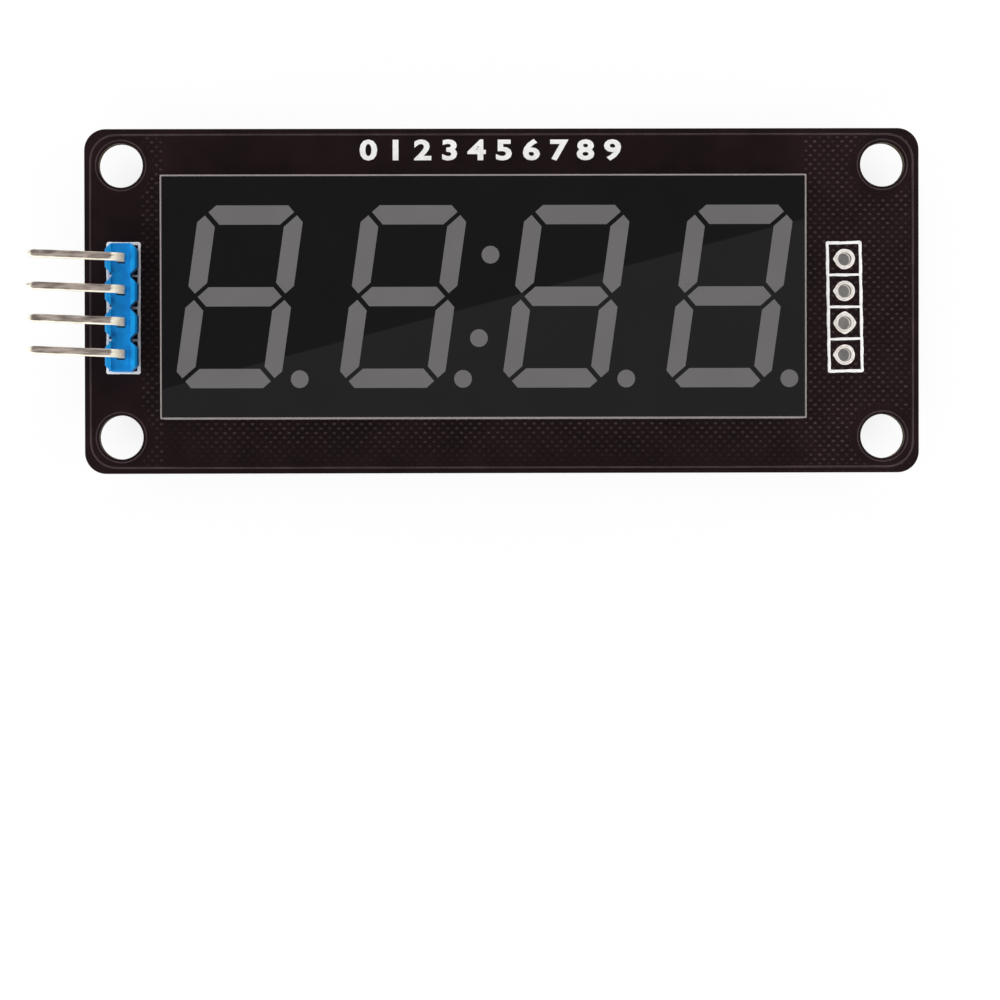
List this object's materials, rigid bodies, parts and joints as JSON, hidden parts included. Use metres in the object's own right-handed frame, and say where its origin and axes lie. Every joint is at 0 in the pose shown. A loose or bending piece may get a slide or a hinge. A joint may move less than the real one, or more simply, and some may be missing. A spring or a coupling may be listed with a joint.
{
  "type": "seven segment display module",
  "caption": "Flat black circuit board with a slanted seven segment clock display, a bent pin header, a spare row of header holes and a driver chip on its rear.",
  "frame": {"origin": "centre of the four mounting holes, on the rear face of the board", "axes": "+X along the row of digits, to the right as they are read; +Y towards their tops; +Z out of the display face"},
  "size_m": [0.0707, 0.0274, 0.0119],
  "materials": {
    "board": "satin",
    "white_print": "matte",
    "grey_print": "matte",
    "red_print": "matte",
    "header_blue": "satin",
    "header_pin": "satin",
    "plating": "satin",
    "solder": "polished",
    "shell": "satin",
    "face_print": "gloss",
    "resin": "satin",
    "die_board": "satin",
    "led_die": "satin",
    "lead_metal": "satin",
    "chip_mould": "matte",
    "copper": "satin",
    "silicon": "gloss",
    "led_base": "satin",
    "led_lens": "gloss",
    "cap_metal": "satin",
    "capacitor": "matte",
    "resistor": "matte",
    "resistor_coat": "satin"
  },
  "bodies": {
    "root": {"circuit_board": "board", "front_silkscreen": "white_print", "rear_silkscreen": "white_print", "legend_squares": "grey_print", "legend_mark": "red_print", "header_block": "header_blue", "header_pads": "plating", "spare_pads": "plating", "header_solder": "solder", "display_shell": "shell", "display_face": "face_print", "display_resin": "resin", "display_die_board": "die_board", "display_dies": "led_die", "display_pins": "lead_metal", "display_pads": "plating", "display_solder": "solder", "driver_chip_body": "chip_mould", "driver_chip_leads": "lead_metal", "driver_chip_paddle": "copper", "driver_chip_die": "silicon", "driver_chip_pads": "plating", "driver_chip_solder": "solder", "via_ring": "copper", "small_pads": "plating", "small_solder": "solder", "power_led_base": "led_base", "power_led_lens": "led_lens", "power_led_die": "led_die", "power_led_caps": "cap_metal", "header_pin_1": "header_pin", "capacitor_1_body": "capacitor", "capacitor_1_caps": "cap_metal", "header_pin_2": "header_pin", "capacitor_2_body": "capacitor", "capacitor_2_caps": "cap_metal", "header_pin_3": "header_pin", "capacitor_3_body": "capacitor", "capacitor_3_caps": "cap_metal", "header_pin_4": "header_pin", "capacitor_4_body": "capacitor", "capacitor_4_caps": "cap_metal", "resistor_1_body": "resistor", "resistor_1_coat": "resistor_coat", "resistor_1_caps": "cap_metal", "resistor_2_body": "resistor", "resistor_2_coat": "resistor_coat", "resistor_2_caps": "cap_metal", "resistor_3_body": "resistor", "resistor_3_coat": "resistor_coat", "resistor_3_caps": "cap_metal"}
  },
  "joints": []
}
